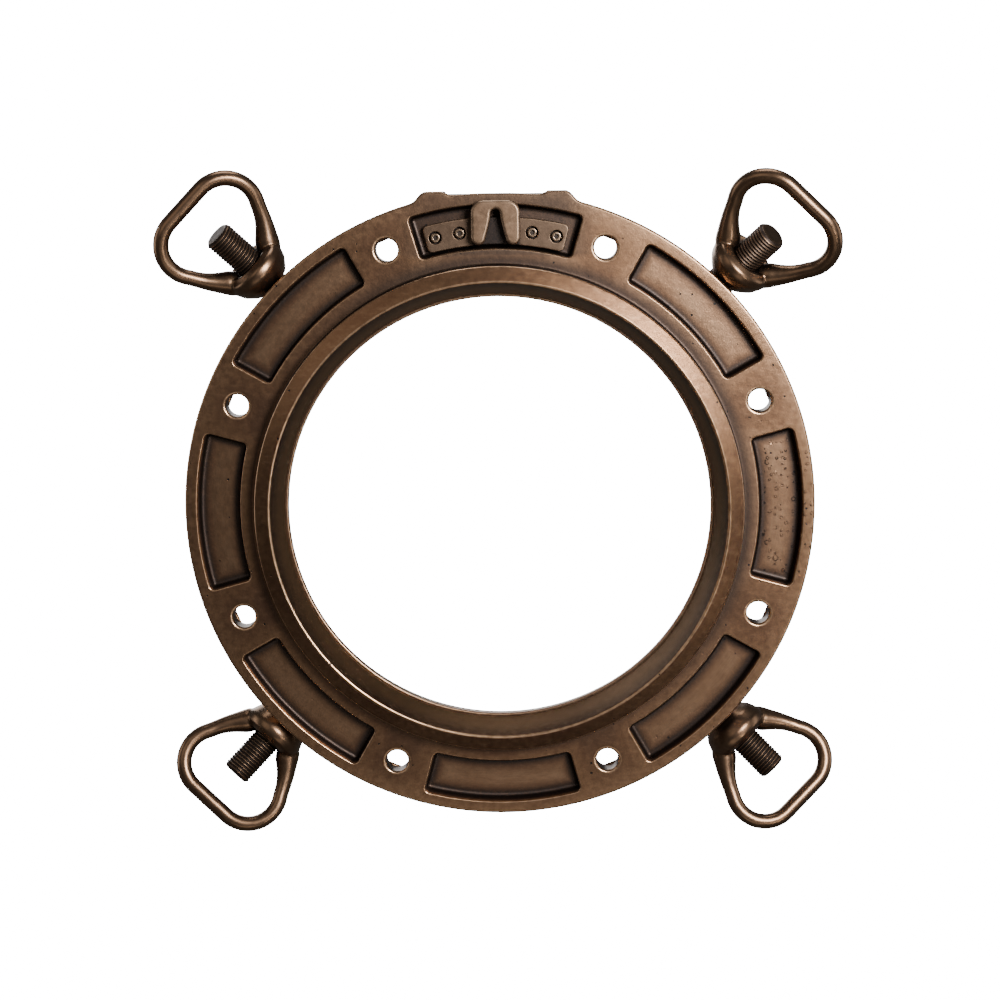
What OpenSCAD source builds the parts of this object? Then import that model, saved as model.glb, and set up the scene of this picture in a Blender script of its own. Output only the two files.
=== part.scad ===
// Round ship's window: a cast bronze main frame with a hinged, glazed sash that four swing bolts
// with ring nuts clamp shut. Drawn face up: z = 0 is the face that meets the wall, z > 0 is towards
// the wall, z < 0 is towards the room, and y is up once the window stands.

/* [Main frame] */
// Outer diameter of the flange
flange_d = 370; // [350:5:440]
// Thickness of the flange
flange_t = 12; // [10:0.5:16]
// Width of the bevel on the room side of the rim
rim_bevel_w = 15; // [10:1:18]
// Thickness of the rim itself, outside the bevel
rim_t = 4; // [3:0.5:6]
// Diameter of the clear opening where the frame meets the sash
light_d = 252; // [200:2:256]
// Height of the spigot ring above the wall face at its outer edge
spigot_h = 10.5; // [6:0.5:20]
// How much higher the spigot's inner edge stands
spigot_crown = 3.5; // [0:0.5:5]
// Width of the spigot's end face
spigot_w = 9.3; // [6:0.1:12]
// How far the bore widens from the sash seat to the spigot's end
bore_flare = 7.5; // [3:0.5:9]
// Depth of the sash seat below the wall face
seat_z = 5; // [4:0.5:6]
// Diameter of the recess that the sash drops into
seat_d = 295; // [290:1:298]

/* [Recesses in the wall face] */
// Number of recesses, with a bolt hole between each two
recess_count = 8; // [4:1:8]
// Inner radius of the recesses
recess_r1 = 152.4; // [151:0.2:155]
// Radial width of the recesses
recess_w = 25.2; // [20:0.2:26]
// Angle that a recess covers
recess_angle = 30.8; // [20:0.2:32]
// Angle that the top recess covers
top_recess_angle = 33; // [28:0.2:34]
// Depth of the recesses
recess_t = 8; // [4:0.5:8]
// Corner radius of the recesses
recess_corner = 3; // [1:0.5:5]

/* [Mounting holes] */
// Pitch circle diameter of the mounting holes
bolt_pcd = 329.4; // [325:0.2:335]
// Diameter of a mounting hole
bolt_hole_d = 13; // [9:0.5:14]

/* [Swing bolts] */
// Distance of a swing bolt's pivot from the rim
pivot_inset = 19; // [15:0.5:21]
// Depth of the pivot below the wall face
pivot_z = 33; // [31:0.5:36]
// Diameter of the stud
stud_d = 18; // [12:1:18]
// Length from the pivot to the stud's tip
stud_len = 67.5; // [60:0.5:75]
// Diameter of the eye at the stud's foot
eye_d = 20; // [18:0.5:20]
// Diameter of the pivot pin
pivot_pin_d = 10; // [6:0.5:11]
// Diameter of the lugs that hold the pivot pin
lug_d = 19; // [16:0.5:19]
// Thickness of one lug
lug_t = 8; // [5:0.5:10]
// Tilt of each bolt from the flange's plane towards the wall: upper right, upper left, lower left, lower right
bolt_tilt = [30, 20.5, 20, 10];

/* [Ring nuts] */
// Height of the nut's boss
boss_h = 19; // [16:0.5:19]
// Diameter of the boss
boss_d = 40; // [34:0.5:40]
// Distance from each pivot to the outer face of its boss: upper right, upper left, lower left, lower right
nut_reach = [47.5, 43, 40, 42.5];
// Turn of each ring about its stud: upper right, upper left, lower left, lower right
nut_turn = [3, 4.5, 6, -18];
// Diameter of the ring's bar
ring_bar_d = 9.2; // [7:0.2:10]
// Diameter of a leg at the boss
leg_root_d = 14.5; // [11:0.5:15]
// Distance of a leg's root from the stud's axis
leg_root_x = 17; // [14:0.5:18]
// Centre-line radius of the ring's corners
ring_corner_r = 19.4; // [14:0.2:22]
// Distance of the corner centres from the stud's axis
ring_corner_x = 13.2; // [10:0.2:16]
// Height of the corner centres above the boss
ring_corner_z = 29.9; // [27:0.1:36]

/* [Sash] */
// Outer diameter of the sash's wall
sash_d = 293; // [288:1:297]
// Diameter of the clear opening in the sash
sash_light_d = 249; // [200:1:251]
// Thickness of the lip in front of the glass
lip_t = 4; // [3:0.5:5]
// Diameter of the sash's outer flange
sash_flange_d = 302; // [298:1:304]
// Diameter of the glass
glass_d = 275; // [270:1:276]
// Thickness of the glass
glass_t = 8; // [6:1:12]
// Thickness of each glazing gasket
gasket_t = 1.5; // [1:0.5:3]
// Thickness of the retaining ring
retainer_t = 5; // [4:0.5:8]
// Inner diameter of the retaining ring
retainer_light_d = 261; // [256:1:264]
// Thickness of an ear that a ring nut bears on
ear_t = 8; // [6:0.5:8]
// How far an ear reaches beyond the stud's axis
ear_reach = 8; // [5:0.5:9]
// Width of an ear
ear_w = 36; // [32:1:40]
// Number of screws in the retaining ring
retainer_screw_count = 12; // [6:1:16]

/* [Hinge] */
// Distance of the hinge pin from the rim
hinge_inset = 9.5; // [7:0.5:13]
// Depth of the hinge pin below the wall face
hinge_z = 22.5; // [22:0.5:26]
// Diameter of the hinge pin
hinge_pin_d = 9; // [6:0.5:10]
// Distance from the centre line to the middle of a hinge lug
hinge_lug_x = 35.6; // [30:0.2:40]
// Width of a hinge lug
hinge_lug_w = 13; // [10:0.5:16]
// Diameter of a hinge lug
hinge_lug_d = 19; // [16:0.5:20]
// Diameter of the sash's knuckle
knuckle_d = 16; // [14:0.5:16]

/* [Hanging bracket] */
// Radius of the line that the bracket's screws lie on
bracket_r = 162.5; // [161:0.5:164]
// Radial width of the bracket's plate
bracket_w = 16; // [14:0.5:18]
// Angle that the plate covers
bracket_angle = 29; // [28:0.5:30]
// Thickness of the plate
bracket_t = 5; // [4:0.5:6]
// Angles of the screws to each side of the centre line
bracket_screw_angles = [7.4, 12.4];
// Diameter of a screw's head
bracket_head_d = 5.5; // [4:0.5:6]
// Width of the fork
fork_w = 28.4; // [24:0.2:30]
// Height of the fork's top edge above the window's centre
fork_top = 180; // [176:0.5:182]
// Length of the fork's legs, measured from its top edge
fork_len = 25.5; // [20:0.5:28]
// Thickness of the fork
fork_t = 4.2; // [3:0.2:5]
// Gap between the wall face and the back of the fork
fork_gap = 0.6; // [0.4:0.1:2]

/* [Hidden] */
$fn = 96;
eps = 0.01;

// clearances
run = 0.05;          // radial, a pin or stud in its bore
press = 0.02;        // radial, a pin held in its lugs
side = 0.3;          // beside an eye, a knuckle or a pin's end
seat_gap = 0.6;      // between the sash and its seat
seal_gap = 0.2;      // between the seal and the seat
slot_clear = 0.5;    // each side of a stud in its ear

flange_r = flange_d / 2;
pivot_r = flange_r - pivot_inset;
hinge_y = flange_r - hinge_inset;
light_r = light_d / 2;
spigot_r1 = light_r + bore_flare;
spigot_r2 = spigot_r1 + spigot_w;
rim_round = 1.5;
seat_r = seat_d / 2;
recess_r2 = recess_r1 + recess_w;
recess_floor = flange_t - recess_t;
recess_draft = 0.8;

sash_r = sash_d / 2;
sash_z1 = seat_z + seat_gap;
lip_z = sash_z1 + lip_t;
glass_z = lip_z + gasket_t;
sash_z2 = glass_z + glass_t + gasket_t;
glass_r = glass_d / 2;
glass_play = 0.5;
gasket_w = 10.5;
seal_r1 = glass_r + glass_play + 2.2;
seal_w = 4.1;
seal_play = 0.2;
sash_flange_z = flange_t + 0.8;
sash_flange_r = sash_flange_d / 2;
retainer_r2 = sash_r - 0.5;
retainer_screw_r = (glass_r + glass_play + sash_r) / 2;
retainer_screw_d = 4;
retainer_head_d = 7.5;
retainer_screw_len = 12;

stud_r = stud_d / 2;
stud_chamfer = 1.5;
boss_foot_r = 12.6;
eye_w = stud_d + 1;
lug_x1 = eye_w / 2 + side;
lug_x2 = lug_x1 + lug_t;
ear_z1 = pivot_z + eye_d / 2 + 0.5;
ear_z2 = ear_z1 + ear_t;
post_gap = 2;
post_r2 = pivot_r - eye_d / 2 - post_gap;
ear_slot_w = stud_d + 2 * slot_clear;

bracket_z = recess_t - bracket_t;
bracket_hole_d = bracket_head_d + 2;
bracket_shank_d = 3;
bracket_head_t = 3;
bracket_counter = 3.6;
bracket_screw_tip = 1.2;
bracket_hex = 2.5;
fork_slot_r = 2.5;
fork_r = 6.7;
knuckle_half = hinge_lug_x - hinge_lug_w / 2 - side;
bronze = [0.36, 0.25, 0.17];
dark_bronze = [0.22, 0.17, 0.14];
rubber = [0.08, 0.08, 0.08];

// stands the window up: z becomes the direction towards the wall, y becomes up
module upright() rotate([90, 0, 0]) children();

// a ring turned about the window's axis from [radius, z] points
module turned(points, fn = 180) rotate_extrude($fn = fn) polygon(points);

// children at each of n equal steps round the window
module around(n, start = 0) for (i = [0:n - 1]) rotate([0, 0, start + i * 360 / n]) children();

// children at swing bolt i: z along the stud, y along the pivot pin
module at_bolt(i, tilt = 0) {
    rotate([0, 0, 45 + 90 * i]) translate([pivot_r, 0, -pivot_z]) rotate([0, 90 - tilt, 0]) children();
}

// the plan of a recess: a ring sector with rounded corners
module sector_plan(r1, r2, angle, corner) {
    a1 = angle / 2 - asin(corner / (r1 + corner));
    a2 = angle / 2 - asin(corner / (r2 - corner));
    steps = 16;
    function on_arc(r, a, n) = [for (i = [0:n]) [r * cos(a * (2 * i / n - 1)), r * sin(a * (2 * i / n - 1))]];
    function turn_at(r, a, from, to) = [for (i = [1:7])
        [r * cos(a) + corner * cos(from + (to - from) * i / 8), r * sin(a) + corner * sin(from + (to - from) * i / 8)]];
    outer = on_arc(r2, a2, steps);
    inner = on_arc(r1, a1, steps);
    polygon(concat(outer,
        turn_at(r2 - corner, a2, a2, angle / 2 + 90),
        turn_at(r1 + corner, a1, angle / 2 + 90, a1 + 180),
        [for (i = [steps:-1:0]) inner[i]],
        turn_at(r1 + corner, -a1, 180 - a1, 270 - angle / 2),
        turn_at(r2 - corner, -a2, 270 - angle / 2, 360 - a2)));
}

// the recess itself, in two steps that stand for its drafted wall
module recess(angle) {
    for (s = [[0, 0], [0.5, recess_draft]]) {
        inset_angle = 2 * s[1] / bolt_pcd * 360 / PI;
        translate([0, 0, -recess_t]) linear_extrude(recess_t * (1 - s[0]) + eps)
            sector_plan(recess_r1 + recess_draft - s[1], recess_r2 - recess_draft + s[1],
                angle - 2 * recess_draft / bolt_pcd * 360 / PI * 2 + 2 * inset_angle, recess_corner);
    }
}

module flange_body() {
    turned([[light_r, -seat_z], [seat_r, -seat_z], [seat_r, -flange_t],
        [flange_r - rim_bevel_w, -flange_t], [flange_r, -rim_t],
        [flange_r, -rim_round], [flange_r - 0.45 * rim_round, -0.45 * rim_round], [flange_r - rim_round, 0],
        [spigot_r2, 0], [spigot_r2, spigot_h], [spigot_r1, spigot_h + spigot_crown]]);
}

// the pad that widens the flange behind the hinge lugs
module hinge_pad() {
    half = hinge_lug_x + hinge_lug_w / 2 + 0.5;
    top = hinge_y + hinge_lug_d / 2;
    foot = top - 6;
    translate([0, 0, -rim_t]) linear_extrude(rim_t)
        for (s = [-1, 1]) polygon([[s * (half + 4), foot], [s * (half + 1), top - 1.2], [s * (half - 1), top],
            [s * (half - hinge_lug_w), top], [s * (half - hinge_lug_w - 4), top - 3], [s * 10, foot]]);
}

module hinge_lug() {
    lug_r = hinge_lug_d / 2;
    rotate([0, 90, 0]) cylinder(r = lug_r, h = hinge_lug_w, center = true);
    translate([-hinge_lug_w / 2, -lug_r, 0]) cube([hinge_lug_w, 2 * lug_r, hinge_z - rim_t]);
}

module pivot_lug() {
    lug_r = lug_d / 2;
    rotate([90, 0, 0]) cylinder(r = lug_r, h = lug_t, center = true);
    translate([-lug_r, -lug_t / 2, 0]) cube([lug_d, lug_t, pivot_z - (flange_t + rim_t) / 2]);
}

module main_frame() {
    color(bronze) upright() difference() {
        union() {
            flange_body();
            hinge_pad();
            for (s = [-1, 1]) translate([s * hinge_lug_x, hinge_y, -hinge_z]) hinge_lug();
            around(4, 45) for (s = [-1, 1])
                translate([pivot_r, s * (lug_x1 + lug_t / 2), -pivot_z]) pivot_lug();
        }
        for (i = [0:recess_count - 1]) rotate([0, 0, 90 + i * 360 / recess_count])
            recess(i == 0 ? top_recess_angle : recess_angle);
        around(recess_count, 90 + 180 / recess_count) translate([bolt_pcd / 2, 0, -flange_t - eps])
            cylinder(d = bolt_hole_d, h = flange_t + 2 * eps);
        translate([0, hinge_y, -hinge_z]) rotate([0, 90, 0])
            cylinder(r = hinge_pin_d / 2 + press, h = 2 * flange_r, center = true);
        around(4, 45) translate([pivot_r, 0, -pivot_z]) rotate([90, 0, 0])
            cylinder(r = pivot_pin_d / 2 + press, h = 2 * lug_x2 + 2, center = true);
        bracket_tapped_holes();
    }
}

module at_bracket_screws() {
    for (a = bracket_screw_angles, s = [-1, 1]) rotate([0, 0, 90 + s * a]) translate([bracket_r, 0, 0]) children();
}

module bracket_tapped_holes() {
    at_bracket_screws() translate([0, 0, -flange_t + bracket_screw_tip - 0.4])
        cylinder(d = bracket_shank_d + 2 * press, h = flange_t);
}

// the fork's outline: a round-shouldered plate whose slot widens downwards
module fork_plan() {
    half = fork_w / 2;
    y1 = fork_top - fork_len;
    apex = fork_top - 5.2 - fork_slot_r;
    flare = 9;
    shoulder = [for (a = [0:10:90]) [half - fork_r + fork_r * cos(a), fork_top - fork_r + fork_r * sin(a)]];
    tip = [for (a = [200:12:260]) [half + 0.4 + flare * cos(a), y1 + flare + flare * sin(a)]];
    slot = [for (a = [0:15:90]) [fork_slot_r * cos(a), apex + fork_slot_r * sin(a)]];
    right = concat([[half, y1 + 1.6]], shoulder);
    inner = concat(slot, [[0, apex + fork_slot_r]]);
    half_plan = concat(right, [[0, fork_top]], [for (i = [len(inner) - 1:-1:0]) inner[i]], tip);
    polygon(half_plan);
    mirror([1, 0, 0]) polygon(half_plan);
}

module hanger_bracket() {
    plate_r1 = bracket_r - bracket_w / 2;
    web_top = recess_r2 - recess_draft - 1;
    color(dark_bronze) upright() difference() {
        union() {
            translate([0, 0, -recess_t]) rotate([0, 0, 90]) linear_extrude(bracket_t)
                sector_plan(plate_r1, plate_r1 + bracket_w, bracket_angle, recess_corner);
            translate([0, 0, fork_gap]) linear_extrude(fork_t) fork_plan();
            translate([-fork_w / 2 + 1, plate_r1 + bracket_w - 1, -recess_t])
                cube([fork_w - 2, web_top - plate_r1 - bracket_w, recess_t + fork_gap + 1]);
        }
        at_bracket_screws() {
            translate([0, 0, -bracket_z - bracket_counter]) cylinder(d = bracket_hole_d, h = bracket_counter + 1);
            translate([0, 0, -recess_t - 1]) cylinder(d = bracket_shank_d + 0.4, h = bracket_t);
        }
    }
}

module bracket_screws() {
    head_z = bracket_z + bracket_counter;
    color(dark_bronze) upright() at_bracket_screws() difference() {
        union() {
            translate([0, 0, -head_z]) cylinder(d = bracket_head_d, h = bracket_head_t);
            translate([0, 0, -flange_t + bracket_screw_tip]) cylinder(d = bracket_shank_d, h = flange_t - head_z);
        }
        translate([0, 0, -head_z + 1.2]) cylinder(d = bracket_hex / cos(30), h = bracket_head_t, $fn = 6);
    }
}

module hinge_pin() {
    half = hinge_lug_x + hinge_lug_w / 2;
    color(bronze) upright() translate([-half, hinge_y, -hinge_z]) rotate([0, 90, 0])
        cylinder(d = hinge_pin_d, h = 2 * half);
}

// an ear of the sash: a post that stands beside the pivot lugs and a slotted plate over them
module sash_ear() {
    difference() {
        union() {
            translate([sash_r - 1, -ear_w / 2, -ear_z2])
                cube([post_r2 - sash_r + 1, ear_w, ear_z2 - sash_flange_z]);
            translate([sash_r - 1, -ear_w / 2, -ear_z2]) cube([pivot_r + ear_reach - sash_r + 1, ear_w, ear_t]);
        }
        translate([pivot_r, 0, -ear_z2 - 1]) cylinder(d = ear_slot_w, h = ear_t + 2);
        translate([pivot_r, -ear_slot_w / 2, -ear_z2 - 1]) cube([flange_r, ear_slot_w, ear_t + 2]);
    }
}

// the strap that joins the sash to its hinge knuckle
module hinge_strap() {
    strap_t = 11;
    strap_z = -hinge_z - knuckle_d / 2 + 1.5;
    difference() {
        union() {
            translate([0, hinge_y, -hinge_z]) rotate([0, 90, 0])
                cylinder(d = knuckle_d, h = 2 * knuckle_half, center = true);
            translate([-knuckle_half, sash_r - 2, strap_z])
                cube([2 * knuckle_half, hinge_y - sash_r + 2, strap_t]);
        }
        translate([0, hinge_y, -hinge_z]) rotate([0, 90, 0])
            cylinder(r = hinge_pin_d / 2 + run, h = 2 * knuckle_half + 2, center = true);
    }
}

module at_retaining_screws() around(retainer_screw_count, 15) translate([retainer_screw_r, 0, 0]) children();

module sash_ring() {
    color(bronze) upright() difference() {
        union() {
            turned([[sash_light_d / 2, -sash_z1], [seal_r1, -sash_z1], [seal_r1, -lip_z],
                [seal_r1 + seal_w + seal_play, -lip_z], [seal_r1 + seal_w + seal_play, -sash_z1],
                [sash_r, -sash_z1], [sash_r, -sash_flange_z], [sash_flange_r, -sash_flange_z],
                [sash_flange_r, -sash_z2], [glass_r + glass_play, -sash_z2], [glass_r + glass_play, -lip_z],
                [sash_light_d / 2, -lip_z]]);
            around(4, 45) sash_ear();
            hinge_strap();
        }
        translate([0, 0, -sash_z2 - 30]) cylinder(r = sash_r, h = 30, $fn = 180);
        at_retaining_screws() translate([0, 0, -sash_z2 - eps])
            cylinder(d = retainer_screw_d + 2 * press, h = retainer_screw_len - retainer_t + 1);
    }
}

module glass_pane() {
    color([0.75, 0.85, 0.85, 0.35]) upright() translate([0, 0, -glass_z - glass_t])
        cylinder(r = glass_r, h = glass_t, $fn = 180);
}

module gasket(z) {
    color(rubber) upright() turned([[glass_r - gasket_w, -z], [glass_r, -z],
        [glass_r, -z - gasket_t], [glass_r - gasket_w, -z - gasket_t]]);
}

module front_gasket() gasket(lip_z);

module rear_gasket() gasket(glass_z + glass_t);

module retaining_ring() {
    color(bronze) upright() difference() {
        turned([[retainer_light_d / 2, -sash_z2], [retainer_r2, -sash_z2], [retainer_r2, -sash_z2 - retainer_t + 1],
            [retainer_r2 - 1, -sash_z2 - retainer_t], [retainer_light_d / 2 + 1, -sash_z2 - retainer_t],
            [retainer_light_d / 2, -sash_z2 - retainer_t + 1]]);
        at_retaining_screws() {
            translate([0, 0, -sash_z2 - retainer_t - eps]) cylinder(d = retainer_screw_d + 0.4, h = retainer_t + 1);
            translate([0, 0, -sash_z2 - retainer_t - eps]) cylinder(d = retainer_head_d + 0.4, h = 2.6);
        }
    }
}

module retaining_screws() {
    color(bronze) upright() at_retaining_screws() difference() {
        union() {
            translate([0, 0, -sash_z2 - retainer_t]) cylinder(d = retainer_head_d, h = 2.5);
            translate([0, 0, -sash_z2 - retainer_t]) cylinder(d = retainer_screw_d, h = retainer_screw_len);
        }
        translate([-retainer_head_d, -0.5, -sash_z2 - retainer_t - eps]) cube([2 * retainer_head_d, 1, 1.2]);
    }
}

module sash_seal() {
    z1 = seat_z + seal_gap;
    color(rubber) upright() turned([[seal_r1 + seal_play, -z1 - 1], [seal_r1 + seal_play + 1, -z1],
        [seal_r1 + seal_w - 1, -z1], [seal_r1 + seal_w, -z1 - 1],
        [seal_r1 + seal_w, -lip_z], [seal_r1 + seal_play, -lip_z]]);
}

module swing_bolt(i) {
    color(bronze) upright() at_bolt(i, bolt_tilt[i]) difference() {
        union() {
            rotate([90, 0, 0]) cylinder(d = eye_d, h = eye_w, center = true);
            cylinder(r = stud_r, h = stud_len - stud_chamfer);
            translate([0, 0, stud_len - stud_chamfer])
                cylinder(r1 = stud_r, r2 = stud_r - stud_chamfer, h = stud_chamfer);
        }
        rotate([90, 0, 0]) cylinder(r = pivot_pin_d / 2 + run, h = eye_w + 2, center = true);
    }
}

module pivot_pin(i) {
    color(dark_bronze) upright() at_bolt(i) rotate([90, 0, 0])
        cylinder(d = pivot_pin_d, h = 2 * lug_x2, center = true);
}

// one side of the ring: a leg that meets the corner's arc without a kink
module ring_side() {
    dx = ring_corner_x - leg_root_x;
    dz = ring_corner_z;
    reach = sqrt(dx * dx + dz * dz);
    lean = asin(ring_corner_r / reach) + atan2(dx, dz);
    leg = sqrt(reach * reach - ring_corner_r * ring_corner_r);
    leg_sink = 5;
    translate([0, leg_root_x, 0]) rotate([-lean, 0, 0]) translate([0, 0, -leg_sink])
        cylinder(d1 = leg_root_d, d2 = ring_bar_d - 0.1, h = leg + leg_sink);
    translate([0, ring_corner_x, ring_corner_z]) rotate([0, -90, 0])
        rotate_extrude(angle = 90 + lean) translate([ring_corner_r, 0]) circle(d = ring_bar_d, $fn = 48);
}

module ring_nut(i) {
    r = boss_d / 2;
    bore_r = stud_r + run;
    color(bronze) upright() at_bolt(i, bolt_tilt[i]) translate([0, 0, nut_reach[i]]) rotate([0, 0, nut_turn[i]])
        difference() {
            union() {
                rotate_extrude() polygon([[0, -boss_h], [boss_foot_r, -boss_h], [r - 5, 2.5 - boss_h],
                    [r - 2.2, 6 - boss_h], [r - 0.4, 9.5 - boss_h], [r, 13 - boss_h],
                    [r, -3], [r - 1.4, -1], [r - 3.4, 0], [0, 0]]);
                for (s = [0, 1]) mirror([0, s, 0]) ring_side();
                translate([0, 0, ring_corner_z + ring_corner_r]) rotate([90, 0, 0])
                    cylinder(d = ring_bar_d, h = 2 * ring_corner_x, center = true, $fn = 48);
            }
            translate([0, 0, -boss_h - 1]) cylinder(r = bore_r, h = boss_h + ring_corner_z);
            translate([0, 0, -1.5]) cylinder(r1 = bore_r, r2 = bore_r + 2, h = 2);
        }
}

main_frame();
hanger_bracket();
bracket_screws();
hinge_pin();
sash_ring();
glass_pane();
front_gasket();
rear_gasket();
retaining_ring();
retaining_screws();
sash_seal();
swing_bolt(0);  // swing_bolt_upper_right
swing_bolt(1);  // swing_bolt_upper_left
swing_bolt(2);  // swing_bolt_lower_left
swing_bolt(3);  // swing_bolt_lower_right
ring_nut(0);  // ring_nut_upper_right
ring_nut(1);  // ring_nut_upper_left
ring_nut(2);  // ring_nut_lower_left
ring_nut(3);  // ring_nut_lower_right
pivot_pin(0);  // pivot_pin_upper_right
pivot_pin(1);  // pivot_pin_upper_left
pivot_pin(2);  // pivot_pin_lower_left
pivot_pin(3);  // pivot_pin_lower_right
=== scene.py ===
"""The looks of the round ship's window: cast and rubbed bronze, clear glass, black rubber.

Shapes are built in millimetres, face up as the window is cast: x right, y up, z towards the wall.
add_piece() turns them upright and into metres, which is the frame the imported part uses.
"""

import math

import bmesh
import bpy
import numpy as np
from mathutils import Matrix, Vector
from mathutils.geometry import delaunay_2d_cdt


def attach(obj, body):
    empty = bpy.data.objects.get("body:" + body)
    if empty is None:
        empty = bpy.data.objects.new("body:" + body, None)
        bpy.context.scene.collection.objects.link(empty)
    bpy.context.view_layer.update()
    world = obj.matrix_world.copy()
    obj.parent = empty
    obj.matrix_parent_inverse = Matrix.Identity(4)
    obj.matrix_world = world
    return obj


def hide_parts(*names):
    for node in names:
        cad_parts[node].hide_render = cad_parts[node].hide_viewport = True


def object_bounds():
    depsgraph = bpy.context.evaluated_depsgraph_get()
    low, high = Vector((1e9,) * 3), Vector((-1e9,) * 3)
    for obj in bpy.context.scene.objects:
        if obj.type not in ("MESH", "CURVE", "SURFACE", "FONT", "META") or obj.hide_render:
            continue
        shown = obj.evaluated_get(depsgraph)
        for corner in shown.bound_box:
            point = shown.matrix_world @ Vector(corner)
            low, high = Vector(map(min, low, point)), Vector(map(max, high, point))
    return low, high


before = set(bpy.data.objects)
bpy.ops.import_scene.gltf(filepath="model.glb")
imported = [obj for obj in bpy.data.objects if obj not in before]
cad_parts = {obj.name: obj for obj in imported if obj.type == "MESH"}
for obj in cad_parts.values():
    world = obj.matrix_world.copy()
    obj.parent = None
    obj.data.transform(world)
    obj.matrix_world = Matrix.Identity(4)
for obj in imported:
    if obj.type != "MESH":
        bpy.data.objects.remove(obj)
cad_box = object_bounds()

# ---------------------------------------------------------------- sizes, as in the part's source
FLANGE_R = 185.0
FLANGE_T = 12.0
RIM_T = 4.0
BEVEL_R = 170.0
SEAT_R = 147.5
SEAT_Z = -5.0
LIGHT_R = 126.0
SPIGOT_R1 = 133.5
SPIGOT_R2 = 142.8
SPIGOT_Z1 = 14.0
SPIGOT_Z2 = 10.5
RECESS_R1 = 152.4
RECESS_R2 = 177.6
RECESS_T = 8.0
RECESS_HALF = 15.4
TOP_RECESS_HALF = 16.5
RECESS_CORNER = 3.0
PLATE_R1 = 154.5
PLATE_R2 = 170.5
PLATE_HALF = 14.5
PLATE_CORNER = 3.0
PLATE_Z = -3.0
PLATE_SCREW_R = 162.5
PLATE_SCREWS_AT = (-12.4, -7.4, 7.4, 12.4)
PLATE_HOLE_R = 3.75
PLATE_HOLE_Z = -6.7
HEAD_R = 2.75
HEAD_Z = (-6.5, -3.6)
SOCKET_R = 1.45
SOCKET_Z = -4.8
FORK_Z = (0.6, 4.8)
BOLT_R = 164.7
BOLT_HOLE_R = 6.5
PIVOT_R = 166.0
PIVOT_Z = -33.0
PIVOT_PIN_R = 5.0
LUG_R = 9.5
PIVOT_LUG_X = (9.8, 17.8)
PIVOT_FOOT = [(9.5, 23.8), (-9.5, 23.8)]
HINGE_Y = 175.5
HINGE_Z = -22.5
HINGE_LUG_X = (29.1, 42.1)
HINGE_PIN_R = 4.5
HINGE_FOOT = [(9.5, 18.5), (3.0, 18.0), (1.5, 13.5), (-9.5, 13.5)]
KNUCKLE_HALF = 28.8
KNUCKLE_R = 8.0
KNUCKLE_ARC = (-125.7, 145.8)
STRAP = [(-14, 4.5), (-30.5, 4.5), (-30.5, -6.5), (-14, -6.5)]
STUD_R = 9.0
STUD_LEN = 67.5
THREAD_PITCH = 2.0
THREAD_DEPTH = 0.65
EYE_R = 10.0
EYE_HALF = 9.5
BOLTS = {  # angle round the window, tilt towards the wall, the nut's outer face from the pivot, ring's turn
    "upper_right": (45, 30.0, 47.5, 3.0),
    "upper_left": (135, 20.5, 43.0, 4.5),
    "lower_left": (225, 20.0, 40.0, 6.0),
    "lower_right": (315, 10.0, 42.5, -18.0),
}
BOSS_H = 19.0
BOSS_LIP_R = 14.4
RING_CORNER = (13.2, 29.9)
RING_CORNER_R = 19.4
RING_BAR_R = 4.6
LEG_ROOT_X = 17.0
LEG_ROOT_R = 7.2
SASH_BORE_R = 124.5
SASH_R = 151.0
SASH_FRONT_Z = -5.6
SASH_BACK_Z = -20.6
SHOULDER_R = 146.5
SHOULDER_Z = -12.8
GLASS_BED_R = 138.0
GLASS_BED_Z = -9.6
GROOVE_R = (140.0, 144.4)
SEAL_R = (140.2, 144.2)
SEAL_FRONT_Z = -5.2
GASKET_R = (127.0, 137.5)
GASKET_T = 1.5
GLASS_BACK_Z = -19.1
GLAZING_R = (130.5, 146.0)
GLAZING_Z = (-25.6, -20.6)
GLAZING_SCREW_R = 142.25
GLAZING_HOLE_R = 3.95
EAR_R = (146.2, 174.0)
EAR_HALF = 18.0
EAR_CORNER = 3.5
EAR_Z = (-51.5, -43.5)
EAR_POST_R = 152.0
EAR_POST_Z = (-49.0, -13.2)
EAR_SLOT = 9.5

STAND = Matrix(((1, 0, 0, 0), (0, 0, -1, 0), (0, 1, 0, 0), (0, 0, 0, 1)))
# local x points along the window's y, local y along its z and local z along its x
ALONG_HINGE = Matrix(((0, 0, 1, 0), (1, 0, 0, 0), (0, 1, 0, 0), (0, 0, 0, 1)))
# local x points at the window's axis, local y along its z and local z along the pivot pin
ALONG_PIVOT = Matrix(((-1, 0, 0, 0), (0, 0, 1, 0), (0, 1, 0, 0), (0, 0, 0, 1)))


# ---------------------------------------------------------------- mesh building
def circle(radius, count, centre=(0.0, 0.0)):
    angle = np.arange(count) * 2 * math.pi / count
    return np.stack([centre[0] + radius * np.cos(angle), centre[1] + radius * np.sin(angle)], 1)


def outset(loop, distance):
    """The loop moved outwards along its normals; a negative distance moves it inwards."""
    along = np.roll(loop, -1, 0) - np.roll(loop, 1, 0)
    normal = np.stack([along[:, 1], -along[:, 0]], 1)
    normal /= np.maximum(np.linalg.norm(normal, axis=1, keepdims=True), 1e-9)
    return loop + normal * distance


def arc(centre, radius, start, end, steps):
    angle = np.radians(np.linspace(start, end, steps + 1))
    return np.stack([centre[0] + radius * np.cos(angle), centre[1] + radius * np.sin(angle)], 1)


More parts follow.
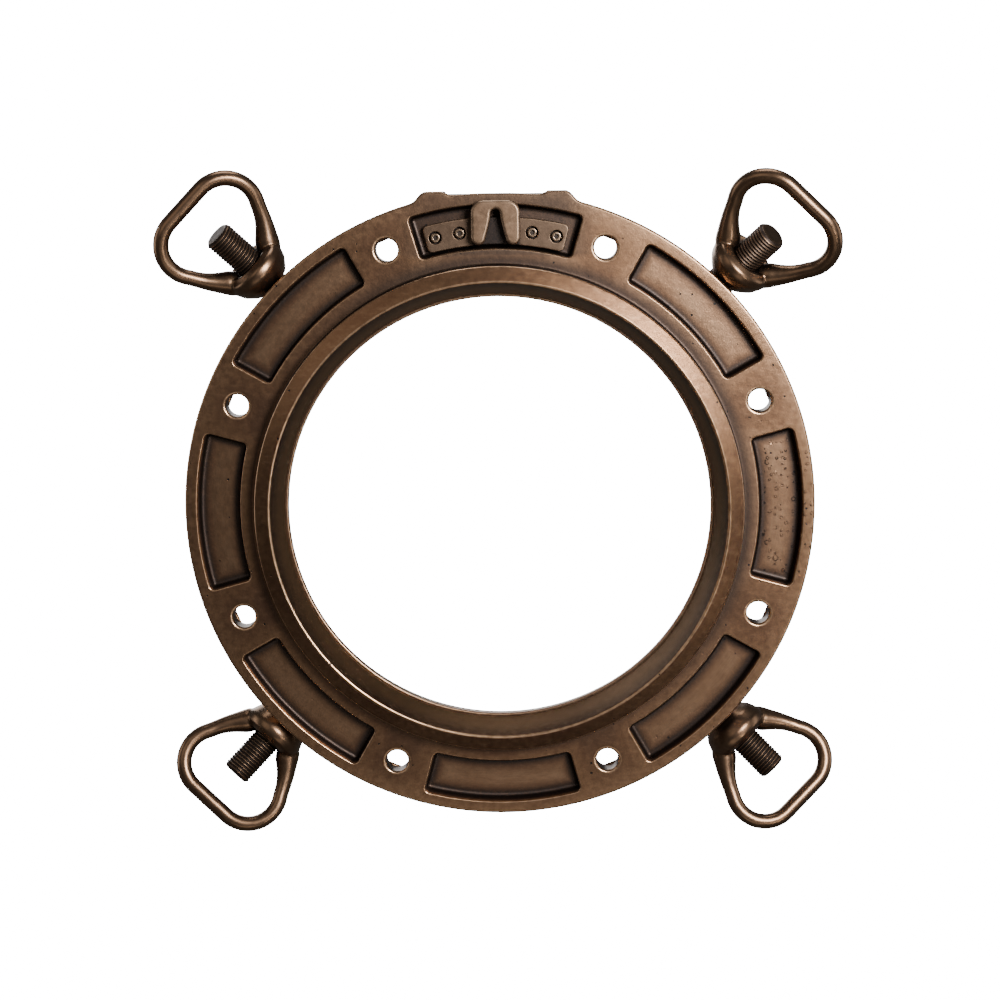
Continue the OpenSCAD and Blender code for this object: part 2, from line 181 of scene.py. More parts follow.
def round_corners(corners, steps=5):
    """A polyline of (x, y, radius, kind) with its corners rounded, as a list of (x, y, kind).

    The kind fades in and out along each arc.
    """
    out = []
    for i, (x, y, radius, kind) in enumerate(corners):
        if radius <= 0 or i in (0, len(corners) - 1):
            out.append((x, y, kind))
            continue
        p = np.array([x, y], float)
        a = np.array(corners[i - 1][:2], float) - p
        b = np.array(corners[i + 1][:2], float) - p
        a /= np.linalg.norm(a)
        b /= np.linalg.norm(b)
        half = math.acos(max(-1.0, min(1.0, float(a @ b)))) / 2
        reach = radius / math.tan(half)
        centre = p + (a + b) / np.linalg.norm(a + b) * radius / math.sin(half)
        u, v = p + a * reach - centre, p + b * reach - centre
        sweep = math.atan2(u[0] * v[1] - u[1] * v[0], float(u @ v))
        for k in range(steps + 1):
            t = sweep * k / steps
            x = centre[0] + u[0] * math.cos(t) - u[1] * math.sin(t)
            y = centre[1] + u[0] * math.sin(t) + u[1] * math.cos(t)
            out.append((x, y, kind * math.sin(math.pi * k / steps)))
    return out


class Shape:
    """Points with their wear (rubbed edges), grime (dark corners, and painted shade under the bracket) and
    bare metal, and the faces between.

    place is where the points that come next are put.
    """

    def __init__(self):
        self.flat, self.points, self.faces = [], [], []
        self.wear, self.grime, self.bare = [], [], []
        self.place = Matrix.Identity(4)

    def add(self, points, wear=0.0, grime=0.0, bare=0.0):
        """Adds points given in space, and returns their numbers."""
        start = len(self.points)
        for x, y, z in points:
            self.flat.append((x, y))
            self.points.append(self.place @ Vector((x, y, z)))
            self.wear.append(wear)
            self.grime.append(grime)
            self.bare.append(bare)
        return list(range(start, len(self.points)))

    def loop(self, plan, height, wear=0.0, grime=0.0, bare=0.0):
        """Adds the points of a flat outline at one height."""
        return self.add([(x, y, height) for x, y in plan], wear, grime, bare)

    def skin(self, a, b):
        count = len(a)
        self.faces += [(a[i], a[(i + 1) % count], b[(i + 1) % count], b[i]) for i in range(count)]

    def chain(self, loops):
        for a, b in zip(loops, loops[1:]):
            self.skin(a, b)

    def fill(self, loops):
        """Triangles between closed loops of one plane: inside the first one and outside the others."""
        index = [i for loop in loops for i in loop]
        plan = [Vector(self.flat[i]) for i in index]
        edges, start = [], 0
        for loop in loops:
            edges += [(start + i, start + (i + 1) % len(loop)) for i in range(len(loop))]
            start += len(loop)
        points, _, faces, came_from, _, _ = delaunay_2d_cdt(plan, edges, [], 0, 1e-5)
        corners = np.array([[points[i] for i in face] for face in faces], float)
        centre = corners.mean(1)
        inside = np.zeros(len(faces), bool)
        for a, b in edges:
            (x1, y1), (x2, y2) = plan[a], plan[b]
            spans = (y1 > centre[:, 1]) != (y2 > centre[:, 1])
            if y1 != y2:
                inside ^= spans & (centre[:, 0] < (x2 - x1) * (centre[:, 1] - y1) / (y2 - y1) + x1)
        for face, keep in zip(faces, inside):
            if keep and all(came_from[i] for i in face):
                self.faces.append(tuple(index[came_from[i][0]] for i in face))

    def slab(self, outline, low, high, edge=1.0, holes=(), hole_edge=0.4, steps=4, wear=0.8):
        """A plate with rounded edges and holes."""
        def walls(plan, sign, radius):
            quarter = [(radius * (1 - math.sin(a)), radius * (1 - math.cos(a)), math.sin(2 * a))
                       for a in np.linspace(0, math.pi / 2, steps + 1)]
            loops = [self.loop(outset(plan, -sign * inset), high - drop, wear * glow)
                     for inset, drop, glow in quarter]
            loops += [self.loop(outset(plan, -sign * inset), low + drop, wear * glow)
                      for inset, drop, glow in reversed(quarter)]
            self.chain(loops)
            return loops[0], loops[-1]
        ends = [walls(outline, 1, edge)] + [walls(hole, -1, hole_edge) for hole in holes]
        self.fill([top for top, _ in ends])
        self.fill([bottom for _, bottom in ends])

    def lathe(self, profile, count, closed=False):
        """Turns (radius, height, wear, grime) points about the local z axis; radius 0 ends close it."""
        loops = []
        for radius, height, wear, grime in profile:
            if radius < 1e-6:
                loops.append(self.loop([(0.0, 0.0)], height, wear, grime))
            else:
                loops.append(self.loop(circle(radius, count), height, wear, grime))
        for a, b in zip(loops, loops[1:] + ([loops[0]] if closed else [])):
            if len(a) == 1:
                self.faces += [(a[0], b[(i + 1) % count], b[i]) for i in range(count)]
            elif len(b) == 1:
                self.faces += [(a[i], a[(i + 1) % count], b[0]) for i in range(count)]
            else:
                self.skin(a, b)


def turned(corners, steps=5):
    """round_corners as lathe points: kind above 0 is wear, below 0 is grime."""
    return [(x, y, max(kind, 0.0), max(-kind, 0.0)) for x, y, kind in round_corners(corners, steps)]


def solid_mesh(shape):
    """The shape as a mesh whose faces all look outwards."""
    mesh = bpy.data.meshes.new("shape")
    mesh.from_pydata([tuple(p) for p in shape.points], [], shape.faces)
    work = bmesh.new()
    work.from_mesh(mesh)
    bmesh.ops.recalc_face_normals(work, faces=work.faces)
    work.to_mesh(mesh)
    work.free()
    return mesh


def paint(mesh, **layers):
    """Stores one value per point under each name, for the materials to read."""
    for key, values in layers.items():
        layer = mesh.attributes.new(key, "FLOAT", "POINT")
        layer.data.foreach_set("value", np.array(values, np.float32))


def add_piece(name, mesh, body, material, nodes, crisp=False):
    """Stands the mesh up in metres and lets it ride on its CAD body in place of the nodes.

    crisp keeps flat faces flat right up to their rounded edges.
    """
    mesh.transform(Matrix.Diagonal((0.001, 0.001, 0.001, 1)) @ STAND)
    mesh.name = name
    piece = bpy.data.objects.new(name, mesh)
    bpy.context.scene.collection.objects.link(piece)
    mesh.polygons.foreach_set("use_smooth", [True] * len(mesh.polygons))
    mesh.materials.clear()
    mesh.materials.append(material)
    if crisp:
        weighted = piece.modifiers.new("weighted", "WEIGHTED_NORMAL")
        weighted.mode = "FACE_AREA"
        weighted.weight = 100
        weighted.keep_sharp = False
    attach(piece, body)
    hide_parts(*nodes)


def add_shape(name, shape, body, material, nodes):
    """A shape as a piece, with its wear, its grime and painted shade, and its bare metal."""
    mesh = solid_mesh(shape)
    paint(mesh, wear=shape.wear, grime=shape.grime, bare=shape.bare)
    add_piece(name, mesh, body, material, nodes, crisp=True)


# ---------------------------------------------------------------- materials
def new_material(name):
    material = bpy.data.materials.new(name)
    material.use_nodes = True
    tree = material.node_tree
    return material, tree, tree.nodes["Principled BSDF"]


class Graph:
    """Short names for the few shader nodes that the materials use. Lengths here are in metres."""

    def __init__(self, tree):
        self.tree = tree
        self.place = self.node("ShaderNodeTexCoord").outputs["Object"]

    def node(self, kind, **settings):
        made = self.tree.nodes.new(kind)
        for key, value in settings.items():
            setattr(made, key, value)
        return made

    def link(self, a, b):
        self.tree.links.new(a, b)

    def put(self, socket, value):
        if isinstance(value, bpy.types.NodeSocket):
            self.link(value, socket)
        elif isinstance(value, tuple) and len(value) == 3 and socket.type == "RGBA":
            socket.default_value = (*value, 1.0)
        else:
            socket.default_value = value

    def math(self, operation, a, b=0.5, clamp=False):
        made = self.node("ShaderNodeMath", operation=operation, use_clamp=clamp)
        self.put(made.inputs[0], a)
        self.put(made.inputs[1], b)
        return made.outputs[0]

    def band(self, value, low, high, to_low=0.0, to_high=1.0):
        """Goes softly from to_low to to_high while the value goes from low to high."""
        made = self.node("ShaderNodeMapRange", interpolation_type="SMOOTHSTEP")
        for key, number in (("Value", value), ("From Min", low), ("From Max", high),
                            ("To Min", to_low), ("To Max", to_high)):
            self.put(made.inputs[key], number)
        return made.outputs[0]

    def mix(self, factor, a, b):
        made = self.node("ShaderNodeMix", data_type="RGBA")
        self.put(made.inputs[0], factor)
        self.put(made.inputs[6], a)
        self.put(made.inputs[7], b)
        return made.outputs[2]

    def noise(self, scale, detail, rough, stretch=None):
        made = self.node("ShaderNodeTexNoise")
        made.inputs["Scale"].default_value = scale
        made.inputs["Detail"].default_value = detail
        made.inputs["Roughness"].default_value = rough
        source = self.place
        if stretch:
            mapping = self.node("ShaderNodeMapping")
            mapping.inputs["Scale"].default_value = stretch
            self.link(source, mapping.inputs["Vector"])
            source = mapping.outputs[0]
        self.link(source, made.inputs["Vector"])
        return made.outputs["Fac"]

    def attribute(self, name):
        return self.node("ShaderNodeAttribute", attribute_name=name).outputs["Fac"]

    def axes(self):
        """The place along x, y and z, in metres."""
        split = self.node("ShaderNodeSeparateXYZ")
        self.link(self.place, split.inputs[0])
        return split.outputs[0], split.outputs[1], split.outputs[2]

    def radius(self):
        """Distance from the window's axis, in metres."""
        x, _, z = self.axes()
        return self.math("SQRT", self.math("ADD", self.math("MULTIPLY", x, x), self.math("MULTIPLY", z, z)))

    def strokes(self, along, across):
        """Noise drawn out round the window: one stroke is about along by across metres."""
        x, _, z = self.axes()
        radius = self.radius()
        around = BOLT_R / 1000 / along
        join = self.node("ShaderNodeCombineXYZ")
        self.link(self.math("MULTIPLY", self.math("DIVIDE", x, radius), around), join.inputs[0])
        self.link(self.math("MULTIPLY", self.math("DIVIDE", z, radius), around), join.inputs[1])
        self.link(self.math("DIVIDE", radius, across), join.inputs[2])
        made = self.node("ShaderNodeTexNoise")
        made.inputs["Scale"].default_value = 1.0
        made.inputs["Detail"].default_value = 4.0
        made.inputs["Roughness"].default_value = 0.6
        self.link(join.outputs[0], made.inputs["Vector"])
        return made.outputs["Fac"]

    def specks(self, scale, share, low, high):
        """Round spots, 1 in the middle, on the faces towards the wall.

        They lie in a share of the cells of a Voronoi pattern, and reach from low to high of a cell.
        """
        x, _, z = self.axes()
        flat = self.node("ShaderNodeCombineXYZ")
        self.link(x, flat.inputs[0])
        self.link(z, flat.inputs[1])
        cells = self.node("ShaderNodeTexVoronoi")
        cells.voronoi_dimensions = "2D"
        cells.inputs["Scale"].default_value = scale
        self.link(flat.outputs[0], cells.inputs["Vector"])
        facing = self.node("ShaderNodeSeparateXYZ")
        self.link(self.node("ShaderNodeNewGeometry").outputs["Normal"], facing.inputs[0])
        front = self.band(facing.outputs[1], -0.9, -0.6, 1.0, 0.0)
        chance = self.node("ShaderNodeSeparateColor")
        self.link(cells.outputs["Color"], chance.inputs[0])
        chosen = self.band(chance.outputs[0], 1 - share, 1.01 - share)
        reach = self.math("MULTIPLY", chance.outputs[1], high - low)
        spot = self.math("SUBTRACT", self.math("ADD", reach, low), cells.outputs["Distance"])
        return self.math("MULTIPLY", self.math("MULTIPLY", self.band(spot, 0.0, low), chosen), front)

    def bump(self, height, distance, normal=None):
        made = self.node("ShaderNodeBump")
        made.inputs["Distance"].default_value = distance
        self.link(height, made.inputs["Height"])
        if normal:
            self.link(normal, made.inputs["Normal"])
        return made.outputs[0]


POCKET_BARE = (0.255, 0.155, 0.094)
BORE_BROWN = (0.36, 0.20, 0.10)
BLACK = (0.014, 0.012, 0.013)
# where the bronze changes, each from and to, in metres
BLISTERS_FROM = (0.1535, 0.157)  # along x
BLISTERS_HALF = (0.034, 0.042)  # either side of the middle, along z
# painted shade round the spigot's foot: darkest at the foot, fading out over the face, stronger towards the
# upper right
FOOT_START = (0.1424, 0.1430)  # radius at the spigot's foot
FOOT_END = (0.1450, 0.1580)  # radius out on the face
FOOT_SLANT = (-0.12, 0.12)  # x + z: from the lower left to the upper right
FOOT_SHADE = (0.2, 0.9)
CROWN_HALF = (0.035, 0.075)  # either side of the fork, along x
CROWN_FROM = (0.144, 0.150)  # height
BORE_END = (0.1285, 0.1335)  # radius
# painted shadow on the plate behind the fork, and painted shade that darkens the deeper plate
FORK_SHADOW_DEPTH = (0.0004, 0.0024)  # depth behind the wall face
FORK_SHADOW_HALF = (0.0125, 0.0165)
PLATE_FROM = (0.0, 0.004)
PLATE_SHADE = 0.6


def pocket_shine(g, colour):
    """Inside the pockets the middle of the floor is brushed bare, in strokes that follow the rim."""
    bare = g.attribute("bare")
    strokes = g.strokes(0.006, 0.0006)
    wide = g.strokes(0.03, 0.012)
    polish = g.math("ADD", g.math("MULTIPLY", strokes, 0.35), g.math("MULTIPLY", wide, 0.65))
    polish = g.band(polish, 0.36, 0.66, 0.45, 1.0)
    return g.mix(g.math("MULTIPLY", bare, polish), colour, POCKET_BARE)


def blisters(g):
    """Blisters left by the mould on the floor of the right-hand pocket."""
    x, _, z = g.axes()
    tall = g.band(g.math("ABSOLUTE", z), *BLISTERS_HALF, 1.0, 0.0)
    inside = g.math("MULTIPLY", g.band(x, *BLISTERS_FROM), tall)
    spots = g.math("MAXIMUM", g.specks(300.0, 0.30, 0.12, 0.36), g.specks(190.0, 0.15, 0.12, 0.34))
    return g.math("MULTIPLY", spots, inside)


def cast_tones(g, colour, grime, worn, cloud):
    """The big casting: bare pockets, painted shade round the spigot's foot, a crown darker above the fork
    and a brown bore.
    """
    colour = pocket_shine(g, colour)
    radius = g.radius()
    x, _, z = g.axes()
    # painted shade round the spigot's foot, stronger towards the upper right
    foot = g.math("MULTIPLY", g.band(radius, *FOOT_END, 1.0, 0.0), g.band(radius, *FOOT_START))
    foot = g.math("MULTIPLY", foot, g.band(g.math("ADD", x, z), *FOOT_SLANT, *FOOT_SHADE))
    grime = g.math("MAXIMUM", grime, foot)
    # the flange's top, above the fork, is made darker and less worn
    crown = g.band(g.math("ABSOLUTE", x), *CROWN_HALF, 0.95, 0.0)
    crown = g.math("MULTIPLY", crown, g.band(z, *CROWN_FROM))
    grime = g.math("MAXIMUM", grime, g.math("MULTIPLY", crown, g.band(cloud, 0.35, 0.6, 0.7, 1.0)))
    worn = g.math("MULTIPLY", worn, g.math("SUBTRACT", 1.0, g.math("MULTIPLY", crown, 0.6)))
    bore = g.band(radius, *BORE_END, 1.0, 0.0)
    return g.mix(g.math("MULTIPLY", bore, 0.8), colour, BORE_BROWN), grime, worn


def fork_tones(g, grime, worn):
    """The hanging bracket: a black painted shadow on the plate behind the fork, and painted shade that makes
    the deeper plate darker than the fork.
    """
    x, y, _ = g.axes()
    # painted shadow: black on the plate behind the fork, with no rubbed edges there
    middle = g.band(g.math("ABSOLUTE", x), *FORK_SHADOW_HALF, 1.0, 0.0)
    behind = g.math("MULTIPLY", g.band(y, *FORK_SHADOW_DEPTH), middle)
    worn = g.math("MULTIPLY", worn, g.math("SUBTRACT", 1.0, behind))
    # painted shade: the plate, lying deeper than the fork, is darker
    plate = g.band(y, *PLATE_FROM, 0.0, PLATE_SHADE)
    return g.math("MAXIMUM", g.math("MAXIMUM", grime, behind), plate), worn


def bronze(name, dark, mid, rubbed, rough, cast=False, fork=False, grain=1.0, coat=0.25):
    """Cast bronze with an oil-rubbed patina: mottled brown, black in the corners, bright on the edges; the
    casting and the bracket also get painted shade.
    """
    material, tree, shader = new_material(name)
    g = Graph(tree)
    cloud = g.noise(16.0, 3.0, 0.5)
    mottle = g.noise(240.0, 4.0, 0.6)
    fine = g.noise(1400.0, 3.0, 0.6)
    brushed = g.noise(260.0, 4.0, 0.65, stretch=(0.5, 1.0, 1.3))

    tone = g.math("ADD", g.math("MULTIPLY", cloud, 0.6), g.math("MULTIPLY", mottle, 0.4))
    colour = g.mix(g.band(tone, 0.3, 0.7), dark, mid)
    colour = g.mix(g.band(brushed, 0.5, 0.8, 0.0, 0.16), colour, rubbed)
    colour = g.mix(g.band(fine, 0.35, 0.2, 0.0, 0.35), colour, BLACK)
    grime = g.math("MULTIPLY", g.attribute("grime"), g.band(mottle, 0.2, 0.6, 0.85, 1.0))
    worn = g.attribute("wear")
    # the casting and the bracket add painted shade to the patina's grime; both darken the colour towards
    # black
    if cast:
        colour, grime, worn = cast_tones(g, colour, grime, worn, cloud)
    if fork:
        grime, worn = fork_tones(g, grime, worn)
    grime = g.math("MULTIPLY", grime, g.band(fine, 0.25, 0.7, 1.0, 0.85), clamp=True)
    colour = g.mix(grime, colour, BLACK)
    wear = g.math("MULTIPLY", worn, g.band(mottle, 0.3, 0.62, 0.6, 1.0), clamp=True)
    colour = g.mix(wear, colour, rubbed)

    normal = g.bump(fine, 0.00004 * grain)
    normal = g.bump(mottle, 0.00012 * grain, normal=normal)
    if cast:
        pits = g.specks(150.0, 0.07, 0.04, 0.12)
        colour = g.mix(pits, colour, BLACK)
        normal = g.bump(g.math("MULTIPLY", pits, -1.0), 0.0007, normal=normal)
        normal = g.bump(blisters(g), 0.0016, normal=normal)
    g.link(normal, shader.inputs["Normal"])
    g.link(colour, shader.inputs["Base Color"])

    roughness = g.math("ADD", g.math("MULTIPLY", g.math("SUBTRACT", mottle, 0.5), 0.12), rough)
    roughness = g.math("ADD", roughness, g.math("MULTIPLY", grime, 0.15))
    roughness = g.math("SUBTRACT", roughness, g.math("MULTIPLY", wear, 0.08), clamp=True)
    g.link(roughness, shader.inputs["Roughness"])
    shader.inputs["Metallic"].default_value = 1.0
    shader.inputs["Coat Weight"].default_value = coat
    shader.inputs["Coat Roughness"].default_value = 0.42
    return material


def rubber_material():
    material, tree, shader = new_material("black_rubber")
    g = Graph(tree)
    dust = g.noise(400.0, 4.0, 0.7)
    colour = g.mix(g.band(dust, 0.4, 0.8), (0.012, 0.012, 0.013), (0.035, 0.033, 0.03))
    g.link(colour, shader.inputs["Base Color"])
    g.link(g.band(dust, 0.2, 0.8, 0.5, 0.75), shader.inputs["Roughness"])
    g.link(g.bump(dust, 0.0001), shader.inputs["Normal"])
    return material


def glass_material():
    """Clear glass as a thin film: almost nothing face on, and a reflection that grows towards the edge."""
    material, tree, shader = new_material("clear_glass")
    g = Graph(tree)
    shader.inputs["Base Color"].default_value = (0.02, 0.03, 0.03, 1)
    shader.inputs["IOR"].default_value = 1.5
    smear = g.noise(40.0, 4.0, 0.6)
    g.link(g.band(smear, 0.3, 0.8, 0.02, 0.06), shader.inputs["Roughness"])
    fresnel = g.node("ShaderNodeFresnel")
    fresnel.inputs["IOR"].default_value = 1.5
    g.link(g.band(fresnel.outputs[0], 0.0, 1.0, 0.03, 0.5), shader.inputs["Alpha"])
    return material


# dark, middle and rubbed colour, and roughness
CAST = bronze("cast_bronze", (0.118, 0.058, 0.029), (0.195, 0.106, 0.056), (0.56, 0.36, 0.22), 0.345,
              cast=True)
TURNED = bronze("turned_bronze", (0.11, 0.062, 0.036), (0.17, 0.102, 0.062), (0.44, 0.28, 0.18), 0.38)
NUT = bronze("nut_bronze", (0.130, 0.073, 0.040), (0.185, 0.108, 0.062), (0.42, 0.27, 0.16), 0.30,
             grain=0.12, coat=0.3)
STUD = bronze("stud_bronze", (0.050, 0.032, 0.022), (0.075, 0.048, 0.033), (0.17, 0.11, 0.07), 0.46,
              grain=0.3, coat=0.1)
BRACKET = bronze("bracket_bronze", (0.105, 0.066, 0.042), (0.185, 0.122, 0.082), (0.42, 0.29, 0.20), 0.44,
                 fork=True, grain=0.8, coat=0.12)
SCREW = bronze("screw_bronze", (0.13, 0.09, 0.06), (0.21, 0.15, 0.105), (0.52, 0.37, 0.25), 0.34, grain=0.3)
PIN = bronze("pin_bronze", (0.12, 0.075, 0.045), (0.2, 0.13, 0.08), (0.5, 0.33, 0.2), 0.32, grain=0.3)
RUBBER = rubber_material()
GLASS = glass_material()


# ---------------------------------------------------------------- main frame
# right half of the rim at the top, x and y: the flat between the pads, a pad, and the end of the pad
PAD_PROFILE = [(0, 183.9), (12, 183.8), (22, 183.1), (25.5, 182.9), (27.6, 183.8), (29.6, 184.8),
               (31.5, 185), (40.0, 185), (42.2, 184.6), (44.0, 183.0), (45.6, 180.9), (47.2, 179.3),
               (49.6, 178.2)]
PAD_SPAN = (74, 106)
PAD_BLUR = 6


def rim_outline():
    """The flange's outline: a circle, with a pad behind each hinge lug and a flat between them."""
    pad = np.array(PAD_PROFILE, float)
    lean = np.degrees(np.arctan2(pad[:, 0], pad[:, 1]))
    reach = np.hypot(pad[:, 0], pad[:, 1])
    start, end = PAD_SPAN
    angles = np.concatenate([np.arange(start, end, 0.125), np.arange(end, start + 360, 0.5)])
    off = np.abs((angles - 90 + 180) % 360 - 180)
    radius = np.where(off < lean[-1], np.interp(off, lean, reach), FLANGE_R)
    kernel = np.exp(-0.5 * (np.arange(-PAD_BLUR, PAD_BLUR + 1) / 2.5) ** 2)
    wide = np.concatenate([radius[-PAD_BLUR:], radius, radius[:PAD_BLUR]])
    soft = np.convolve(wide, kernel / kernel.sum(), "valid")
    radius = np.where(off < (end - start) / 2 + 2, soft, radius)
    radians = np.radians(angles)
    return np.stack([radius * np.cos(radians), radius * np.sin(radians)], 1)


def sector(r1, r2, half, c, side=None):
    """A ring sector about the x axis with corners of radius c, whose centres lie side from its flanks."""
    side = side or c
    a2 = half - math.degrees(math.asin(side / (r2 - c)))
    a1 = half - math.degrees(math.asin(side / (r1 + c)))

    def at(r, a):
        return (r * math.cos(math.radians(a)), r * math.sin(math.radians(a)))

    return np.concatenate([
        arc((0, 0), r2, -a2, a2, 30)[:-1],
        arc(at(r2 - c, a2), c, a2, half + 90, 8),
        arc(at(r1 + c, a1), c, half + 90, a1 + 180, 8)[:-1],
        arc((0, 0), r1, a1, -a1, 30)[:-1],
        arc(at(r1 + c, -a1), c, 180 - a1, 270 - half, 8),
        arc(at(r2 - c, -a2), c, 270 - half, 360 - a2, 8)[:-1],
    ])


def recess_outline(half, inset):
    """A recess's outline with all its sides moved inwards by inset."""
    c = max(RECESS_CORNER - inset, 0.6)
    return sector(RECESS_R1 + inset, RECESS_R2 - inset, half, c, c + inset)


def turn(loop, degrees):
    a = math.radians(degrees)
    return loop @ np.array([[math.cos(a), math.sin(a)], [-math.sin(a), math.cos(a)]])


def recess(shape, angle, half, painted_shade_floor=False):
    """One recess: a worn edge, a drafted wall and a dark fillet round its floor; returns its top loop."""
    # each step is its inset from the outline, height, wear, grime and bare metal
    edge = [(-1 + math.sin(a), -1 + math.cos(a), 0.95 * math.sin(a + 0.6) ** 2 if a > 0 else 0.1, 0.0, 0.0)
            for a in np.linspace(0, math.pi / 2, 6)]
    foot = -5.8
    wall = [(0.15, -1.8, 0.15, 0.5, 0.0), (0.35, -3.4, 0.0, 0.95, 0.0), (0.7, foot, 0.0, 1.0, 0.0)]
    fillet_r = RECESS_T + foot
    fillet = [(0.8 + fillet_r * (1 - math.cos(a)), foot - fillet_r * math.sin(a), 0.0, 1.0, 0.0)
              for a in np.linspace(0.25, math.pi / 2, 5)]
    floor = [(3.8, -RECESS_T, 0.0, 0.9, 0.0), (5.0, -7.98, 0.0, 0.66, 0.1), (6.6, -7.95, 0.0, 0.36, 0.4),
             (8.6, -7.92, 0.0, 0.12, 0.85), (11.2, -7.9, 0.0, 0.0, 1.0)]
    # painted shade: the top recess lies under the bracket, so its whole floor is darkened, with no bare
    # middle
    if painted_shade_floor:
        floor = [(inset, z, 0.0, 0.9, 0.0) for inset, z, *_ in floor]
    loops = [shape.loop(turn(recess_outline(half, inset), angle), *rest)
             for inset, *rest in edge + wall + fillet + floor]
    shape.chain(loops)
    shape.fill([loops[-1]])
    return loops[0]


def bolt_hole(shape, angle):
    """One hole through the flange; returns its loops on the wall face and on the room face."""
    centre = (BOLT_R * math.cos(math.radians(angle)), BOLT_R * math.sin(math.radians(angle)))
    # each step is its radius, height, wear and grime
    steps = [(8.6, 0.0, 0.0, 0.35), (8.1, 0.0, 0.35, 0), (7.7, -0.05, 1.0, 0), (7.3, -0.22, 1.0, 0),
             (6.95, -0.55, 1.0, 0), (6.65, -1.0, 0.6, 0), (BOLT_HOLE_R, -1.6, 0, 0.6),
             (BOLT_HOLE_R, -6, 0, 1), (BOLT_HOLE_R, -11.5, 0, 0.4), (6.9, -FLANGE_T, 0.5, 0)]
    loops = [shape.loop(circle(radius, 64, centre), z, wear, grime) for radius, z, wear, grime in steps]
    shape.chain(loops)
    return loops[0], loops[-1]


def lug_outline(radius, foot):
    """A lug from the side: round about its pin, with straight sides down to its foot on the flange."""
    right, left = (radius, foot[0][1] * 0.5), (-radius, foot[-1][1] * 0.5)
    return np.concatenate([arc((0, 0), radius, 180, 360, 36), [right], foot, [left]])


def flange_edge(shape, outline):
    """The rim and the bevel behind it; returns its loops on the wall face and on the room face."""
    edge_r = 1.6
    # each step is its inset from the outline, height and wear
    rim = [(edge_r - edge_r * math.sin(a), -edge_r * (1 - math.cos(a)), math.sin(a + 0.5) ** 2)
           for a in np.linspace(0, math.pi / 2, 6)]
    rim += [(0.0, -2.6, 0.3), (0.1, -RIM_T + 0.3, 0.5), (0.5, -RIM_T - 0.2, 0.7)]
    loops = [shape.loop(outset(outline, -inset), z, wear * 0.8) for inset, z, wear in rim]
    bearing = np.arctan2(outline[:, 1], outline[:, 0])
    for radius, z in ((BEVEL_R + 1.0, -FLANGE_T + 0.45), (BEVEL_R, -FLANGE_T)):
        plan = np.stack([radius * np.cos(bearing), radius * np.sin(bearing)], 1)
        loops.append(shape.loop(plan, z, 0.3))
    shape.chain(loops)
    return loops[0], loops[-1]


def bore_and_spigot(shape):
    """The seat, the light and the spigot; returns its loops on the wall face and on the room face."""
    section = turned([
        (SEAT_R + 0.6, -FLANGE_T, 0, 0.5), (SEAT_R, -FLANGE_T + 0.6, 0, 0.5), (SEAT_R, SEAT_Z, 0.4, 0),
        (LIGHT_R, SEAT_Z, 0.5, 0.5), (SPIGOT_R1, SPIGOT_Z1, 1.4, 1.0), (SPIGOT_R2, SPIGOT_Z2, 1.2, 1.0),
        (SPIGOT_R2, 0, 1.8, -1.0), (SPIGOT_R2 + 3.0, 0, 0, -0.6)], steps=6)
    rings = [shape.loop(circle(radius, 540), z, wear, grime) for radius, z, wear, grime in section]
    shape.chain(rings)
    return rings[-1], rings[0]


def main_frame():
    shape = Shape()
    rim_front, rim_back = flange_edge(shape, rim_outline())
    bore_front, bore_back = bore_and_spigot(shape)
    recesses = [recess(shape, 90, TOP_RECESS_HALF, painted_shade_floor=True)]
    recesses += [recess(shape, 90 + 45 * k, RECESS_HALF) for k in range(1, 8)]
    holes = [bolt_hole(shape, 22.5 + 45 * k) for k in range(8)]
    shape.fill([rim_front, bore_front] + recesses + [front for front, _ in holes])
    shape.fill([rim_back, bore_back] + [back for _, back in holes])

    for side in (-1, 1):
        low, high = sorted(side * x for x in HINGE_LUG_X)
        shape.place = Matrix.Translation((0, HINGE_Y, HINGE_Z)) @ ALONG_HINGE
        shape.slab(lug_outline(LUG_R, HINGE_FOOT), low, high, 1.4, [circle(HINGE_PIN_R + 0.02, 40)], 0.3)
    for angle, *_ in BOLTS.values():
        for side in (-1, 1):
            low, high = sorted(side * x for x in PIVOT_LUG_X)
            shape.place = pivot_place(angle) @ ALONG_PIVOT
            shape.slab(lug_outline(LUG_R, PIVOT_FOOT), low, high, 1.2, [circle(PIVOT_PIN_R + 0.02, 40)], 0.3)
    add_shape("frame_casting", shape, "frame", CAST, ["main_frame"])


# ---------------------------------------------------------------- swing bolts and their nuts
def spun(degrees):
    return Matrix.Rotation(math.radians(degrees), 4, "Z")


def pivot_place(angle):
    """At the pivot of the bolt at that angle, with x pointing outwards."""
    return spun(angle) @ Matrix.Translation((PIVOT_R, 0, PIVOT_Z))


def bolt_place(name):
    """At the bolt's pivot, with z pointing along its stud."""
    angle, tilt, _, _ = BOLTS[name]
    return pivot_place(angle) @ Matrix.Rotation(math.radians(90 - tilt), 4, "Y")


def nut_place(name):
    """On the bolt, at the outer face of its nut's boss."""
    _, _, reach, roll = BOLTS[name]
    return bolt_place(name) @ spun(roll) @ Matrix.Translation((0, 0, reach))


